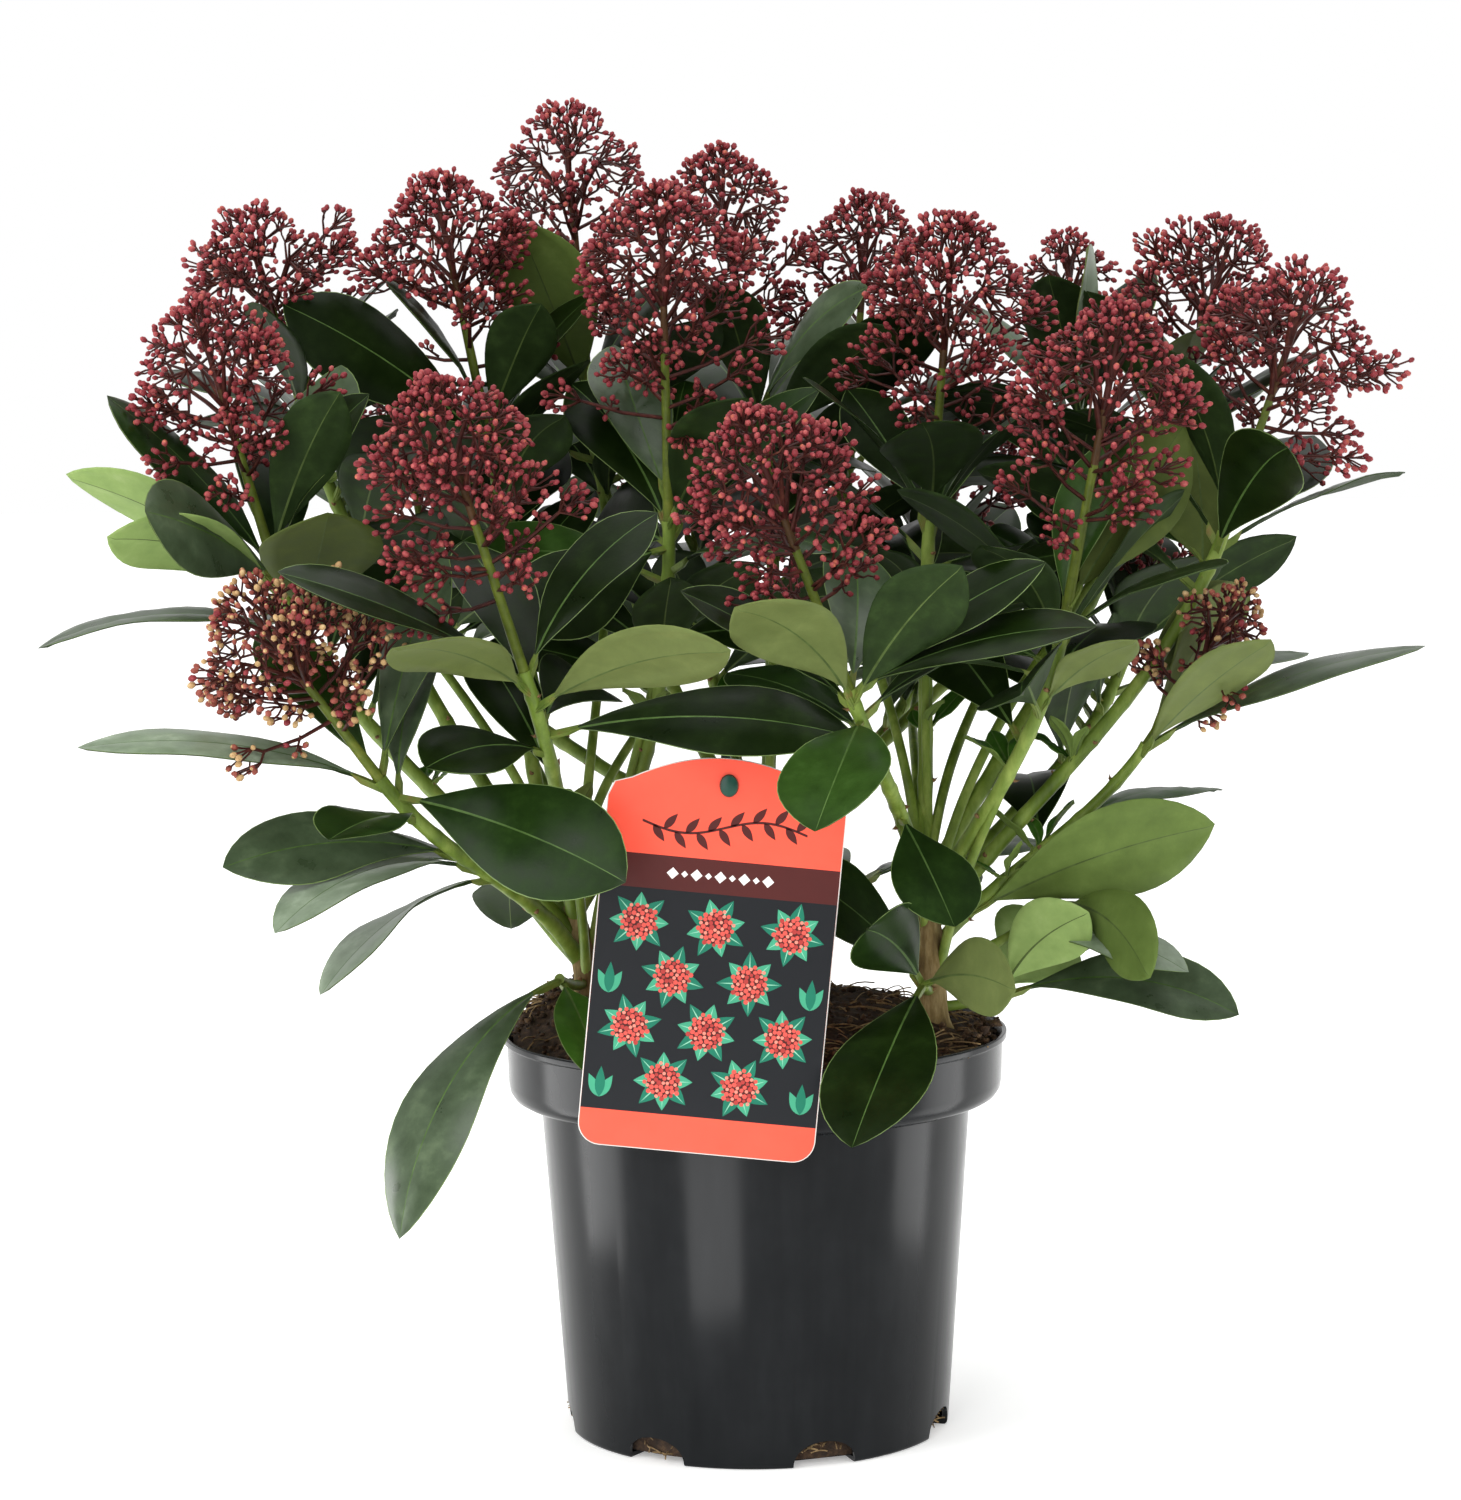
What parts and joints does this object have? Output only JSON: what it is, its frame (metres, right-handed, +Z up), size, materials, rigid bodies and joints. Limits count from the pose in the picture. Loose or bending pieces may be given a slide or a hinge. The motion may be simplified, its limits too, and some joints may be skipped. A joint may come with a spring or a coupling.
{
  "type": "potted japanese skimmia",
  "caption": "Evergreen shrub in flower bud: whorls of glossy oval leaves under domed red panicles, on short woody stems in a tapered nursery pot with a hanging plant label.",
  "frame": {"origin": "centre of the pot's flat underside", "axes": "+Z up, +X to the right and +Y to the back as the picture sees the plant"},
  "size_m": [0.5019, 0.4035, 0.5052],
  "materials": {
    "pot": "smooth dark anthracite polypropylene with a soft sheen",
    "compost": "loose dark peat compost with paler fibres",
    "woody_stem": "grey-brown streaked bark",
    "bough": "smooth green young bark with leaf scars",
    "foliage": "leathery glossy leaves, dark above and paler below, under matt crimson flower buds",
    "plant_label": null,
    "label_stake": "moulded dark green plastic"
  },
  "bodies": {
    "root": {"pot": "pot", "right_stem": "woody_stem", "left_stem": "woody_stem", "back_stem": "woody_stem", "compost": "compost", "label_stake": "label_stake", "plant_label": "plant_label", "front_mid_bough": "bough", "right_front_bough": "bough", "low_right_bough": "bough", "far_right_bough": "bough", "far_right_back_bough": "bough", "mid_right_bough": "bough", "low_left_bough": "bough", "front_left_bough": "bough", "left_bough": "bough", "back_left_bough": "bough", "left_mid_bough": "bough", "centre_bough": "bough", "top_back_bough": "bough", "centre_back_bough": "bough", "mid_back_bough": "bough", "right_back_bough": "bough", "rear_left_bough": "bough", "rear_mid_bough": "bough", "rear_right_bough": "bough", "rear_far_right_bough": "bough", "front_mid_mass": "foliage", "right_front_mass": "foliage", "low_right_mass": "foliage", "far_right_mass": "foliage", "far_right_back_mass": "foliage", "mid_right_mass": "foliage", "low_left_mass": "foliage", "front_left_mass": "foliage", "left_mass": "foliage", "back_left_mass": "foliage", "left_mid_mass": "foliage", "centre_mass": "foliage", "top_back_mass": "foliage", "centre_back_mass": "foliage", "mid_back_mass": "foliage", "right_back_mass": "foliage", "rear_left_mass": "foliage", "rear_mid_mass": "foliage", "rear_right_mass": "foliage", "rear_far_right_mass": "foliage", "low_front_left_mass": "foliage", "low_front_right_mass": "foliage", "low_edge_right_mass": "foliage", "low_far_right_mass": "foliage", "low_rear_left_mass": "foliage", "low_rear_right_mass": "foliage"}
  },
  "joints": []
}
